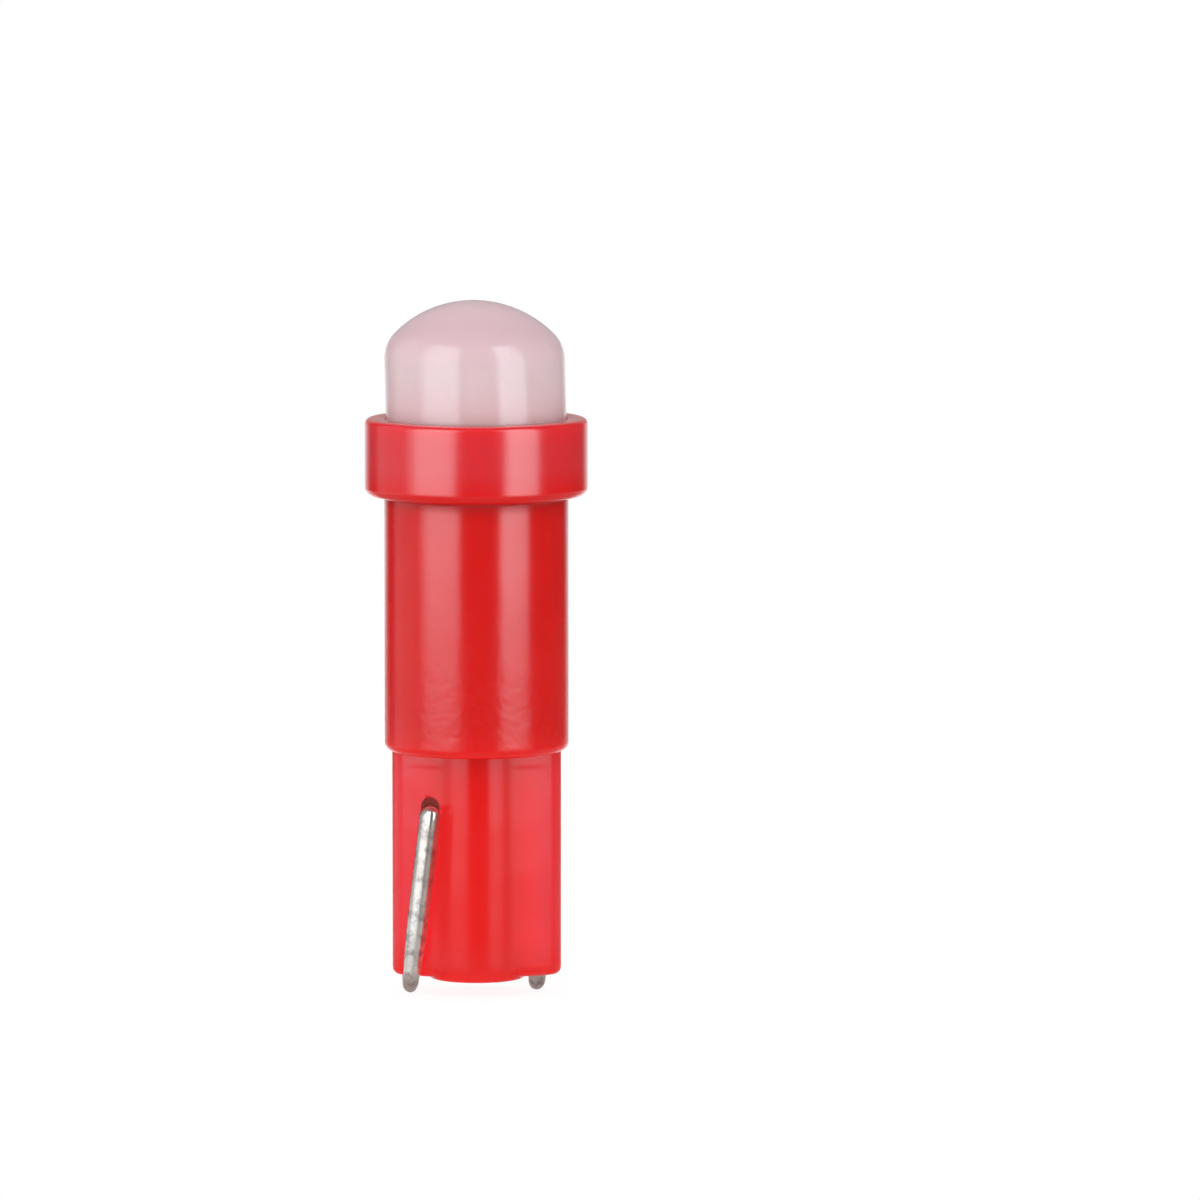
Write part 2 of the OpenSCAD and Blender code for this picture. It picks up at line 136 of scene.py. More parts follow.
def wedge_distance(x, y, z):
    """Distance from the wedge's side: blade with its shoulder, blended into the column."""
    step = shoulder_step * ramp(z, wedge_top - shoulder_h - 0.08 * mm, wedge_top - shoulder_h + 0.05 * mm)
    step = step * (1 - 0.9 * ramp(z, wedge_top - shoulder_h + 0.06 * mm, wedge_top))
    step = step * (1 - ramp(np.abs(x), shoulder_half_w - 0.35 * mm, shoulder_half_w))
    blade = blade_distance(x, y) - step + rolled_inset(z - blade_foot_z, blade_foot_r)
    column = np.hypot(x, y) - column_r + rolled_inset(z, column_foot_r)
    return smooth_low(blade, column, column_fillet)


def wedge_reach(base, way, z):
    """How far a ray runs from the wedge's middle line before it leaves the side, by halving."""
    past_side, halvings = 3 * mm, 30
    low = np.zeros(np.broadcast_shapes(way[0].shape, z.shape))
    high = np.full_like(low, past_side)
    for _ in range(halvings):
        middle = (low + high) / 2
        inside = wedge_distance(base + middle * way[0], middle * way[1], z) < 0
        low, high = np.where(inside, middle, low), np.where(inside, high, middle)
    return (low + high) / 2


def foot_height(x, y):
    """Height of the underside above the column's foot: each foot edge is rolled, and the lower shows."""
    out_of_reach = 3 * mm
    blade = blade_foot_z + rolled_inset(-blade_distance(x, y), blade_foot_r)
    column = rolled_inset(column_r - np.hypot(x, y), column_foot_r)
    outside = out_of_reach * ramp(np.hypot(x, y), column_r, column_r + 0.01 * mm)
    return smooth_low(blade, column + outside, 0.02 * mm)


def rays(face_steps, end_steps):
    """Rays from the wedge's middle line outwards, once round: fans at the ends, parallel on the faces."""
    across = np.linspace(blade_end_x, -blade_end_x, face_steps, endpoint=False)
    fan = np.linspace(-math.pi / 2, math.pi / 2, end_steps, endpoint=False)
    base = np.concatenate([
        np.full(end_steps, blade_end_x), across, np.full(end_steps, -blade_end_x), -across])
    angle = np.concatenate([
        fan, np.full(face_steps, math.pi / 2), fan + math.pi, np.full(face_steps, -math.pi / 2)])
    return base, (np.cos(angle), np.sin(angle))


def round_reach(base, way, r):
    """How far each ray runs to the circle of radius r about the axis: -b.d + sqrt((b.d)^2 - b^2 + r^2)."""
    along = base * way[0]
    return -along + np.sqrt(along**2 - base**2 + r**2)


def arc(centre_r, centre_z, r, start, end, steps):
    """Points of a profile's arc, from one angle to another in degrees, as radius and height."""
    a = np.radians(np.linspace(start, end, steps))
    return np.column_stack([centre_r + r * np.cos(a), centre_z + r * np.sin(a)])


def line(start, end, steps):
    """Points of a profile's straight part, without its last."""
    return np.linspace(start, end, steps, endpoint=False)


def turned_rows():
    """Profile of the turned part: from the barrel's underside, over the rim, down to the bore's floor."""
    foot_r, collar_foot_r, lip_r = barrel_foot_r, 0.25 * mm, 0.15 * mm
    inner_r, root_r = 0.05 * mm, 0.08 * mm
    return np.concatenate([
        arc(barrel_r - foot_r, wedge_top + foot_r, foot_r, -90, 0, 12),
        line((barrel_r, wedge_top + 0.3 * mm), (barrel_r, collar_foot - root_r), 24),
        arc(barrel_r + root_r, collar_foot - root_r, root_r, 180, 90, 6),
        arc(collar_r - collar_foot_r, collar_foot + collar_foot_r, collar_foot_r, -90, 0, 14),
        line((collar_r, collar_foot + 0.3 * mm), (collar_r, collar_top - lip_r), 10),
        arc(collar_r - lip_r, collar_top - lip_r, lip_r, 0, 90, 12),
        arc(pocket_r + inner_r, collar_top - inner_r, inner_r, 90, 180, 6),
        line((pocket_r, collar_top - 2 * inner_r), (pocket_r, ledge_z), 5),
        line((pocket_r, ledge_z), (bore_r, ledge_z), 3),
        line((bore_r, ledge_z), (bore_r, bore_floor), 10),
    ])


def grid_mesh(name, points):
    """A mesh object over rows of points, each row closed into a ring; the ends stay as they come."""
    rows, columns = points.shape[:2]
    i, j = np.meshgrid(np.arange(rows - 1), np.arange(columns), indexing="ij")
    k = (j + 1) % columns
    quads = np.stack(
        [i * columns + j, i * columns + k, (i + 1) * columns + k, (i + 1) * columns + j], axis=-1)
    mesh = bpy.data.meshes.new(name)
    mesh.from_pydata(points.reshape(-1, 3), [], quads.reshape(-1, 4).tolist())
    piece = bpy.data.objects.new(name, mesh)
    bpy.context.scene.collection.objects.link(piece)
    return piece


def shut(piece, distance=0.0005 * mm):
    """Merges vertices that lie together, which shuts seams and poles, and turns the faces outwards."""
    work = bmesh.new()
    work.from_mesh(piece.data)
    bmesh.ops.remove_doubles(work, verts=work.verts, dist=distance)
    bmesh.ops.recalc_face_normals(work, faces=work.faces)
    work.to_mesh(piece.data)
    work.free()


def smooth_to_edges(piece, degrees):
    """Shades a piece smooth, apart from edges that turn by more than an angle."""
    piece.data.shade_smooth()
    piece.data.set_sharp_from_angle(angle=math.radians(degrees))


def bent_path(corners, bends, spacing):
    """A wire's middle line: straight runs joined by circular bends, as evenly spaced points.

    At a corner the arc leaves the first run a length r tan(a / 2) before it and turns by a about a
    centre that lies r to the inside."""
    corners = np.asarray(corners, float)
    stations = [corners[0]]
    for before, corner, after, r in zip(corners, corners[1:], corners[2:], bends):
        way_in = (corner - before) / np.linalg.norm(corner - before)
        way_out = (after - corner) / np.linalg.norm(after - corner)
        turn = math.acos(np.clip(way_in @ way_out, -1, 1))
        inward = way_out - (way_out @ way_in) * way_in
        inward /= np.linalg.norm(inward)
        centre = corner - way_in * r * math.tan(turn / 2) + inward * r
        for a in np.linspace(0, turn, max(6, int(turn * r / spacing * 1.5))):
            stations.append(centre + r * (math.sin(a) * way_in - math.cos(a) * inward))
    stations.append(corners[-1])
    stations = np.array(stations)
    run = np.concatenate([[0], np.cumsum(np.linalg.norm(np.diff(stations, axis=0), axis=1))])
    even = np.linspace(0, run[-1], int(run[-1] / spacing) + 2)
    return np.column_stack([np.interp(even, run, stations[:, k]) for k in range(3)])


def tube_points(path, radii, sides, across=(1, 0, 0), squareness=0.0, turned_by=0.0):
    """Rings about a path: p + r f(a) (cos a . n + sin a . b), with n carried along it without twisting.

    f = (|cos c|^k + |sin c|^k)^(-1/k), c = a - turned_by, is 1 for a round wire, where k is 2, and squares
    it up as k grows."""
    ways = np.gradient(path, axis=0)
    ways /= np.linalg.norm(ways, axis=1)[:, None]
    normal = np.array(across, float)
    normals = []
    for way in ways:
        normal = normal - (normal @ way) * way
        normal /= np.linalg.norm(normal)
        normals.append(normal)
    normals = np.array(normals)
    sides_way = np.cross(ways, normals)
    a = np.linspace(0, 2 * math.pi, sides, endpoint=False)[None, :, None]
    k, turned_by = (
        np.broadcast_to(value, len(path)).reshape(-1, 1, 1) for value in (2 + squareness, turned_by))
    form = (np.abs(np.cos(a - turned_by))**k + np.abs(np.sin(a - turned_by))**k)**(-1 / k)
    radii = np.asarray(radii, float).reshape(len(path), -1, 1) * form
    return path[:, None] + radii * (np.cos(a) * normals[:, None] + np.sin(a) * sides_way[:, None])


def housing_skin():
    """The moulding's whole skin, each row the same rays at another height or radius."""
    base, way = rays(96, 56)
    rows = []

    def add(reach, z):
        rows.append(np.stack(
            [base + reach * way[0], reach * way[1], np.broadcast_to(z, reach.shape)], axis=-1))

    wall_foot = blade_foot_z + blade_foot_r
    edge = wedge_reach(base, way, np.full_like(base, wall_foot))
    towards_edge = 1 - 0.2 * np.cos(np.linspace(0.15, math.pi / 2, 24))
    for share in np.concatenate([np.linspace(0, 0.8, 10), towards_edge]):
        reach = edge * share
        add(reach, np.minimum(foot_height(base + reach * way[0], reach * way[1]), wall_foot))
    heights = np.concatenate([
        np.linspace(wall_foot, wedge_top - shoulder_h - 0.10 * mm, 44)[1:],
        np.linspace(wedge_top - shoulder_h - 0.08 * mm, wedge_top - shoulder_h + 0.05 * mm, 7),
        np.linspace(wedge_top - 0.31 * mm, wedge_top, 7),
    ])
    for z in heights:
        add(wedge_reach(base, way, np.full_like(base, z)), z)
    inner = wedge_reach(base, way, np.full_like(base, wedge_top))
    outer = round_reach(base, way, barrel_r - barrel_foot_r)
    for share in (0.33, 0.67):
        add(inner + (outer - inner) * share, wedge_top)
    for r, z in turned_rows():
        add(round_reach(base, way, r), z)
    floor = round_reach(base, way, bore_r)
    for share in np.linspace(1, 0, 5):
        add(floor * share, bore_floor)
    return np.array(rows)


def slot_cutter(side):
    """What is cut for a lead's tip: an upright round-ended slot from outside the face to the slot's floor.

    Near the face its outline grows, which rolls the mouth over to slot_flare."""
    steps, clear = 64, 0.4 * mm
    a = np.linspace(0, 2 * math.pi, steps, endpoint=False)
    x, z = np.cos(a), np.sin(a)
    rise = slot_rise * (np.sin(a) > 0)

    def ring(grow, y):
        return np.stack([side * slot_x + (slot_r + grow) * x, np.broadcast_to(side * y, steps),
                         tip_z + rise + (slot_r + grow) * z], axis=-1)

    outwards = (np.zeros(steps), np.full(steps, side))
    face = wedge_reach(side * slot_x + slot_r * x, outwards, tip_z + rise + slot_r * z)
    rings = [ring(-slot_r, slot_floor_y), ring(0, slot_floor_y)]
    for turn in np.linspace(0, math.pi / 2, 6):
        rings.append(ring(slot_flare * (1 - math.cos(turn)), face - slot_flare * (1 - math.sin(turn))))
    rings += [ring(slot_flare, face + clear), ring(-slot_r, face.mean() + clear)]
    return np.array(rings)


def cut(piece, cutters):
    """Takes the cutters' solids out of a piece and clears them away."""
    for cutter in cutters:
        shut(cutter)
        step = piece.modifiers.new("cut", "BOOLEAN")
        step.operation, step.solver, step.object = "DIFFERENCE", "EXACT", cutter
    graph = bpy.context.evaluated_depsgraph_get()
    mesh = bpy.data.meshes.new_from_object(piece.evaluated_get(graph))
    piece.modifiers.clear()
    piece.data = mesh
    for cutter in cutters:
        bpy.data.objects.remove(cutter)


def capped(points):
    """Rings with their first and last drawn in to their middles, so that shutting them closes the ends."""
    ends = [np.broadcast_to(points[k].mean(axis=0), points[0].shape)[None] for k in (0, -1)]
    return np.concatenate([ends[0], points, ends[1]])


housing = grid_mesh("housing_moulding", housing_skin())
shut(housing)
cutters = []
for side in (-1, 1):
    cutters.append(grid_mesh("slot_cutter", slot_cutter(side)))
    channel = bent_path(
        [(side * channel_x, 0, bore_floor + 0.5 * mm), (side * channel_x, 0, turn_z),
         (side * channel_x, side * 2 * mm, turn_z)], [turn_r], 0.1 * mm)
    bore = tube_points(channel, np.full(len(channel), groove_r), 48)
    cutters.append(grid_mesh("channel_cutter", capped(bore)))
cut(housing, cutters)
smooth_to_edges(housing, 40)


class Value:
    """A shader socket that takes + - * / and **, each of which adds its Math node."""

    def __init__(self, tree, socket):
        self.tree, self.socket = tree, socket

    def math(self, operation, *others, flip=False):
        node = self.tree.nodes.new("ShaderNodeMath")
        node.operation = operation
        values = (*others, self) if flip else (self, *others)
        for entry, value in zip(node.inputs, values):
            put(self.tree, entry, value)
        return Value(self.tree, node.outputs[0])

    def __add__(self, other): return self.math("ADD", other)
    def __radd__(self, other): return self.math("ADD", other)
    def __sub__(self, other): return self.math("SUBTRACT", other)
    def __rsub__(self, other): return self.math("SUBTRACT", other, flip=True)
    def __mul__(self, other): return self.math("MULTIPLY", other)
    def __rmul__(self, other): return self.math("MULTIPLY", other)
    def __truediv__(self, other): return self.math("DIVIDE", other)
    def __pow__(self, other): return self.math("POWER", other)

    def held(self):
        """The value kept between 0 and 1."""
        return self.math("MAXIMUM", 0.0).math("MINIMUM", 1.0)

    def between(self, low, high):
        """0 where the value is at low, 1 where it is at high, held in between."""
        return ((self - low) / (high - low)).held()


def put(tree, entry, value):
    """Sets a socket to a number or colour, or links it to a Value."""
    if isinstance(value, Value):
        tree.links.new(value.socket, entry)
    elif isinstance(value, tuple) and len(value) == 3 and entry.type == "RGBA":
        entry.default_value = (*value, 1)
    else:
        entry.default_value = value


class Finish:
    """A surface finish: a material whose shader is built up by expressions."""

    def __init__(self, name, **constants):
        self.material = bpy.data.materials.new(name)
        self.material.use_nodes = True
        self.tree = self.material.node_tree
        self.shader = self.tree.nodes["Principled BSDF"]
        self.set(**constants)
        self.place = self.node("ShaderNodeTexCoord", output="Object")
        self.height = None

    def set(self, **values):
        """Sets or links the shader's sockets, whose names have spaces for underscores."""
        for name, value in values.items():
            put(self.tree, self.shader.inputs[name.replace("_", " ")], value)

    def node(self, kind, settings=None, output=0, **values):
        """One node of a kind, its settings first and then its sockets; gives the chosen output."""
        node = self.tree.nodes.new(kind)
        for name, value in (settings or {}).items():
            setattr(node, name, value)
        for name, value in values.items():
            put(self.tree, node.inputs[name.replace("_", " ")], value)
        return Value(self.tree, node.outputs[output])

    def along(self, axis):
        """The place along X, Y or Z, in metres."""
        return self.node("ShaderNodeSeparateXYZ", output=axis, Vector=self.place)

    def stretched(self, scale):
        """The place, drawn out along the axes with small factors."""
        return self.node("ShaderNodeMapping", Vector=self.place, Scale=scale)

    def noise(self, grain, detail=2.0, spread=0.5, place=None):
        """Soft noise from 0 to 1 whose grains are about that wide, in metres."""
        return self.node("ShaderNodeTexNoise", Vector=place or self.place, Scale=1 / grain,
                         Detail=detail, Roughness=spread)

    def mix(self, share, one, other):
        """One colour at share 0, the other at 1."""
        node = self.tree.nodes.new("ShaderNodeMix")
        node.data_type = "RGBA"
        put(self.tree, node.inputs["Factor"], share)
        put(self.tree, node.inputs[6], one)
        put(self.tree, node.inputs[7], other)
        return Value(self.tree, node.outputs[2])

    def relief(self, height):
        """Bumps whose height is given in metres."""
        bump = self.node("ShaderNodeBump", Strength=1.0, Distance=1.0, Height=height)
        self.set(Normal=bump)


def coat(piece, finish):
    """Gives a piece its only material."""
    if piece.material_slots:
        for entry in piece.material_slots:
            entry.material = finish.material
    else:
        piece.data.materials.append(finish.material)


def red_plastic():
    """Red see-into plastic, glossiest at the collar and scuffed low on the barrel.

    The wedge is painted brighter at its thin parts, as light that comes through them, than in its
    middle; its foot and its far ends carry painted shade. The corner under the collar carries painted
    shade and is dull, and a lead's slot is painted dark inside, as shade."""
    finish = Finish(
        "red_plastic", IOR=1.5, Specular_IOR_Level=0.5, Coat_Roughness=0.18, Subsurface_Weight=1.0,
        Subsurface_Radius=(1.0, 0.06, 0.04), Subsurface_Scale=1.2 * mm)
    x, y, z = (finish.along(axis) for axis in "XYZ")
    at_collar = z.between(collar_foot + 0.1 * mm, collar_foot + 0.9 * mm)
    at_wedge = 1 - z.between(wedge_top - 0.1 * mm, wedge_top + 0.1 * mm)
    low_barrel = (1 - z.between(8 * mm, 11.5 * mm)) * (1 - at_wedge)
    off_middle = x.math("ABSOLUTE")
    # painted light: the wedge's thin parts are made brighter, as light that comes through them
    painted_light_thin_parts = off_middle.between(0.9 * mm, 1.9 * mm)
    side_x = x * y.math("SIGN")
    over_slot = side_x - slot_x
    up_slot = (z - tip_z - 0.5 * slot_rise) * 0.75
    from_slot = (over_slot * over_slot + up_slot * up_slot).math("SQRT")
    # painted shade: the inside of a lead's slot is made a dark brown
    painted_shade_in_slot = 1 - from_slot.between(0.95 * slot_r, 1.2 * slot_r)
    painted_shade_in_slot = painted_shade_in_slot * (1 - y.math("ABSOLUTE").between(0.62 * mm, 0.80 * mm))
    cloud = finish.noise(1.6 * mm, 3.0).between(0.3, 0.7)
    barrel_red = finish.mix(cloud, (0.65, 0.007, 0.006), (0.68, 0.011, 0.010))
    collar_red = finish.mix(at_collar, barrel_red, (0.70, 0.027, 0.037))
    wedge_red = finish.mix(painted_light_thin_parts, (0.73, 0.007, 0.006), (0.96, 0.020, 0.033))
    # painted shade: the blade's far ends are made a duller, darker red
    wedge_red = finish.mix(off_middle.between(2.0 * mm, 2.28 * mm), wedge_red, (0.72, 0.042, 0.048))
    # painted shade: the wedge is made darker towards its foot
    wedge_red = finish.mix(z.between(0.1 * mm, 1.2 * mm), (0.66, 0.016, 0.014), wedge_red)
    # painted shade: the corner under the collar is made a deeper red, and its coat is taken away there too
    painted_shade_under_collar = (1 - (z - collar_foot).math("ABSOLUTE").between(0.12 * mm, 0.3 * mm)) * 0.8
    collar_red = finish.mix(painted_shade_under_collar, collar_red, (0.54, 0.003, 0.002))
    red = finish.mix(painted_shade_in_slot, finish.mix(at_wedge, collar_red, wedge_red), (0.50, 0.12, 0.10))
    scuffs = finish.noise(0.28 * mm, 1.0, 0.4)
    finish.set(
        Base_Color=red,
        Coat_Weight=(0.42 + 0.2 * at_collar) * (1 - at_wedge) * (1 - 0.8 * low_barrel) * (1 - painted_shade_under_collar),
        Roughness=0.18 + 0.03 * at_collar + 0.02 * at_wedge + low_barrel * (0.02 + 0.06 * scuffs),
    )
    sinks = finish.noise(1.3 * mm, 1.0, 0.4)
    finish.relief(0.0006 * mm * finish.noise(0.14 * mm) + 0.009 * mm * low_barrel * scuffs
                  + 0.0055 * mm * low_barrel * finish.noise(0.15 * mm)
                  + sinks * (0.012 * mm + 0.010 * mm * at_wedge))
    return finish


coat(housing, red_plastic())
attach(housing, "root")
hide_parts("housing")


# ---- Diffuser ----
# A milky cap in faintly pink plastic, turned in form: straight side, small shoulder, wide crown.
# Its skirt is pushed into the collar and stands on the board. Above the collar it leans to -X a
# little, which the CAD's diffuser doesn't.

dome_r = 2.45 * mm
dome_foot = 14.4 * mm
dome_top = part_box("diffuser")[1][2]
dome_lean = 0.026
dome_crown_r = 3.05 * mm
dome_shoulder_r = 1.0 * mm
dome_wall = 0.5 * mm


def cap_outline(r, top, crown_r, shoulder_r, foot, side_steps):
    """A cap's half section from its foot to the axis: side, shoulder arc and crown arc, all tangent."""
    crown_z = top - crown_r
    shoulder_x = r - shoulder_r
    shoulder_z = crown_z + math.sqrt((crown_r - shoulder_r)**2 - shoulder_x**2)
    meet = math.degrees(math.atan2(shoulder_z - crown_z, shoulder_x))
    return np.concatenate([
        line((r, foot), (r, shoulder_z), side_steps),
        arc(shoulder_x, shoulder_z, shoulder_r, 0, meet, 16)[:-1],
        arc(0, crown_z, crown_r, meet, 90, 24),
    ])


def turned(profile, sides):
    """A profile of radii and heights carried once round the axis."""
    a = np.linspace(0, 2 * math.pi, sides, endpoint=False)
    r, z = profile[:, :1], profile[:, 1:]
    return np.stack([r * np.cos(a), r * np.sin(a), np.broadcast_to(z, (len(profile), sides))], axis=-1)


outside = cap_outline(dome_r, dome_top, dome_crown_r, dome_shoulder_r, dome_foot, 16)
inside = cap_outline(dome_r - dome_wall, dome_top - dome_wall, dome_crown_r - dome_wall,
                     dome_shoulder_r - dome_wall, dome_foot, 10)
cap = turned(np.concatenate([inside[::-1], outside]), 192)
above_rim = np.clip(cap[..., 2] - collar_top, 0, None)
cap[..., 0] -= dome_lean * above_rim
diffuser = grid_mesh("diffuser_cap", cap)
shut(diffuser)
smooth_to_edges(diffuser, 40)


def milky_plastic():
    """Milky pink plastic that light goes into, with faint marks of handling.

    Near the collar a glow of the collar's red light is painted in, and the crown carries painted shade.
    """
    finish = Finish(
        "milky_plastic", IOR=1.5, Specular_IOR_Level=0.5, Subsurface_Weight=1.0,
        Subsurface_Radius=(1.0, 0.8, 0.8), Subsurface_Scale=0.8 * mm)
    z = finish.along("Z")
    # painted light: near the collar the milk is made pinker, a glow of the collar's red light
    painted_red_glow_near_collar = 1 - z.between(collar_top, collar_top + 1.4 * mm)
    cloud = finish.noise(1.3 * mm, 3.0).between(0.3, 0.7)
    milk = finish.mix(cloud, (0.70, 0.55, 0.57), (0.73, 0.58, 0.595))
    # painted shade: the crown, which faces up into more light, is made a darker, pinker milk
    milk = finish.mix(z.between(dome_top - 2.0 * mm, dome_top - 0.8 * mm), milk, (0.69, 0.50, 0.535))
    finish.set(
        Base_Color=finish.mix(painted_red_glow_near_collar * 0.7, milk, (0.74, 0.50, 0.52)),
        Roughness=0.08 + 0.05 * finish.noise(0.4 * mm, 4.0, 0.6),
    )
    finish.relief(0.0005 * mm * finish.noise(0.14 * mm) + 0.002 * mm * finish.noise(0.7 * mm))
    return finish


coat(diffuser, milky_plastic())
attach(diffuser, "root")
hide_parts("diffuser")


# ---- Circuit board and copper ----
# A small round board of glass and epoxy under white mask, etched copper on both faces.
# It stands on the ledge at the top of the bore, and the diffuser's skirt holds it down.

def board_mask():
    """White solder mask over a faint weave."""
    finish = Finish("board_mask")
    weave = finish.noise(0.15 * mm, 1.0, 0.4, finish.stretched((1, 0.2, 1)))
    finish.set(Base_Color=finish.mix(weave, (0.78, 0.78, 0.70), (0.86, 0.86, 0.79)),
               Roughness=0.35 + 0.1 * weave)
    finish.relief(0.002 * mm * weave)
    return finish


def etched_copper():
    """Copper foil, a little tarnished."""
    finish = Finish("etched_copper", Metallic=1.0)
    tarnish = finish.noise(0.2 * mm, 4.0, 0.6).between(0.35, 0.7)
    finish.set(Base_Color=finish.mix(tarnish, (0.72, 0.36, 0.20), (0.45, 0.20, 0.11)),
               Roughness=0.25 + 0.2 * tarnish)
    finish.relief(0.0008 * mm * finish.noise(0.04 * mm))
    return finish


coat(nodes["circuit_board"], board_mask())
coat(nodes["copper_tracks"], etched_copper())


# ---- LED ----
# A white moulded cup on two plated terminals, with the die, its gold bond wire and clear silicone.
# It is soldered to the middle of the board and shines up into the diffuser.

def moulded_white():
    """White moulding compound, matt."""
    finish = Finish("moulded_white")
    speck = finish.noise(0.08 * mm, 3.0)
    finish.set(Base_Color=finish.mix(speck, (0.84, 0.84, 0.81), (0.90, 0.90, 0.87)),
               Roughness=0.45 + 0.1 * speck)
    finish.relief(0.001 * mm * speck)
    return finish


def silver_plate():
    """Silver plating with fine rolling marks."""
    finish = Finish("silver_plate", Metallic=1.0)
    rolled = finish.noise(0.03 * mm, 2.0, 0.5, finish.stretched((1, 0.08, 1)))
    finish.set(Base_Color=finish.mix(rolled, (0.80, 0.78, 0.73), (0.90, 0.88, 0.84)),
               Roughness=0.2 + 0.15 * rolled)
    finish.relief(0.0005 * mm * rolled)
    return finish


def die_crystal():
    """The light-emitting crystal, dark amber and polished."""
    finish = Finish("die_crystal", Coat_Weight=1.0)
    zone = finish.noise(0.1 * mm, 1.0)
    finish.set(Base_Color=finish.mix(zone, (0.50, 0.30, 0.06), (0.68, 0.45, 0.12)),
               Roughness=0.15 + 0.1 * zone)
    finish.relief(0.0003 * mm * zone)
    return finish


def bond_gold():
    """Drawn gold."""
    finish = Finish("bond_gold", Metallic=1.0)
    drawn = finish.noise(0.02 * mm, 2.0)
    finish.set(Base_Color=finish.mix(drawn, (0.85, 0.60, 0.20), (0.95, 0.72, 0.32)),
               Roughness=0.15 + 0.1 * drawn)
    finish.relief(0.0002 * mm * drawn)
    return finish


def clear_silicone():
    """Clear silicone, faintly rosy."""
    finish = Finish("clear_silicone", Transmission_Weight=0.9, IOR=1.41)
    haze = finish.noise(0.3 * mm, 2.0)
    finish.set(Base_Color=finish.mix(haze, (0.98, 0.88, 0.84), (0.92, 0.80, 0.76)),
               Roughness=0.05 + 0.1 * haze)
    finish.relief(0.0005 * mm * haze)
    return finish


coat(nodes["led_package"], moulded_white())
plating = silver_plate()
coat(nodes["led_front_terminal"], plating)
coat(nodes["led_rear_terminal"], plating)
coat(nodes["led_die"], die_crystal())
coat(nodes["bond_wire"], bond_gold())
coat(nodes["led_gel"], clear_silicone())


# ---- Series resistor and solder ----
# A black chip resistor hangs under the board and limits the current. Bright solder holds it,
# the LED and the leads.

def chip_glaze():
    """Black glaze on a ceramic chip."""
    finish = Finish("chip_glaze")
    speck = finish.noise(0.05 * mm, 3.0)
    finish.set(Base_Color=finish.mix(speck, (0.012, 0.012, 0.014), (0.03, 0.03, 0.034)),
               Roughness=0.25 + 0.2 * speck)
    finish.relief(0.0006 * mm * speck)
    return finish


def bright_solder():
    """Solder as it set, with a soft ripple."""
    finish = Finish("bright_solder", Metallic=1.0)
    ripple = finish.noise(0.12 * mm, 3.0)
    finish.set(Base_Color=finish.mix(ripple, (0.62, 0.63, 0.64), (0.80, 0.81, 0.82)),
               Roughness=0.2 + 0.2 * ripple)
    finish.relief(0.004 * mm * ripple)
    return finish


solder = bright_solder()
coat(nodes["series_resistor"], chip_glaze())
coat(nodes["chip_solder"], solder)
coat(nodes["lead_solder"], solder)


# ---- Leads ----
# Two tinned wires. Each comes down a channel in its end of the wedge, turns under the foot,
# leans in as it runs up the face, and ends in a slot. They run about 0.1 mm farther out than the
# CAD's leads, and the rear one's foot hangs lower than the front one's.

lead_r = 0.25 * mm
wire_top = 14.67 * mm
hole_x = 1.45 * mm
jog_low, jog_high = 8.05 * mm, 8.95 * mm
turn_out = 1.09 * mm
slot_out = 1.23 * mm
tip_in = 0.39 * mm
tip_up = 4.6 * mm


def wire_noise(seed, run, around):
    """Smooth unevenness of a drawn and dipped wire: a few sines along and round it, between -1 and 1."""
    draw = np.random.default_rng(seed)
    waves = 14
    total = np.zeros((len(run), len(around)))
    for _ in range(waves):
        wave = draw.uniform(0.25, 1.6) * mm
        turns = run[:, None] / wave * 2 * math.pi
        total += np.sin(turns + draw.integers(0, 4) * around + draw.uniform(0, 7))
    return 2 * total / waves


def lead_wire(name, side, foot_x, foot_z, seed):
    """One folded wire: its bent middle line, a slightly uneven skin and rounded ends.

    Up the face it is pressed flatter, with four soft facets; at the fold under the foot it is drawn
    thinner. Where it turns into its slot the outside of the bend is pressed out: by the share that
    (cos^5 + sin^5)^(-1/5) has over 1, which squares up a quarter turn."""
    corners = np.array([
        (hole_x, 0, wire_top), (hole_x, 0, jog_high), (channel_x, 0, jog_low), (channel_x, 0, 1 * mm),
        (foot_x, 0, foot_z), (foot_x, turn_out, foot_z),
        (slot_x, slot_out, tip_up), (slot_x, tip_in, tip_up),
    ]) * (side, side, 1)
    bends = [0.6 * mm, 0.6 * mm, 0.6 * mm, turn_r, turn_r, lead_r + 0.01 * mm]
    sides, uneven = 48, 0.006
    path = bent_path(corners, bends, 0.07 * mm)
    run = np.concatenate([[0], np.cumsum(np.linalg.norm(np.diff(path, axis=0), axis=1))])
    around = np.linspace(0, 2 * math.pi, sides, endpoint=False)
    radii = lead_r * (1 - uneven + uneven * wire_noise(seed, run, around))
    from_end = np.minimum(run, run[-1] - run)[:, None]
    round_end = 0.06 * mm
    radii = radii - rolled_inset(from_end, round_end)
    pressed = ramp(run, run[-1] - 6.0 * mm, run[-1] - 4.5 * mm)[:, None]
    fold = np.exp(-((run - run[-1] + 5.2 * mm) / (0.9 * mm))**2)[:, None]
    tip = ramp(run, run[-1] - 0.9 * mm, run[-1] - 0.6 * mm)[:, None]
    radii = radii * (1 + 0.03 * pressed - 0.17 * fold - 0.09 * tip)
    ways = np.gradient(path, axis=0)
    lean = np.arccos(np.clip(ways[:, 2] / np.linalg.norm(ways, axis=1), 0, 1))[:, None]
    corner = (np.cos(lean)**5 + np.sin(lean)**5)**(-1 / 5) - 1
    outer = np.clip(np.cos(around - side * math.pi / 2), 0, 1)
    radii = radii + 2 * lead_r * corner * outer * (run > run[-1] - 1.3 * mm)[:, None]
    squareness = 1.2 * pressed * (1 - tip)
    points = tube_points(path, radii, sides, squareness=squareness[:, 0], turned_by=math.radians(-31))
    wire = grid_mesh(name, capped(points))
    shut(wire)
    smooth_to_edges(wire, 60)
    return wire


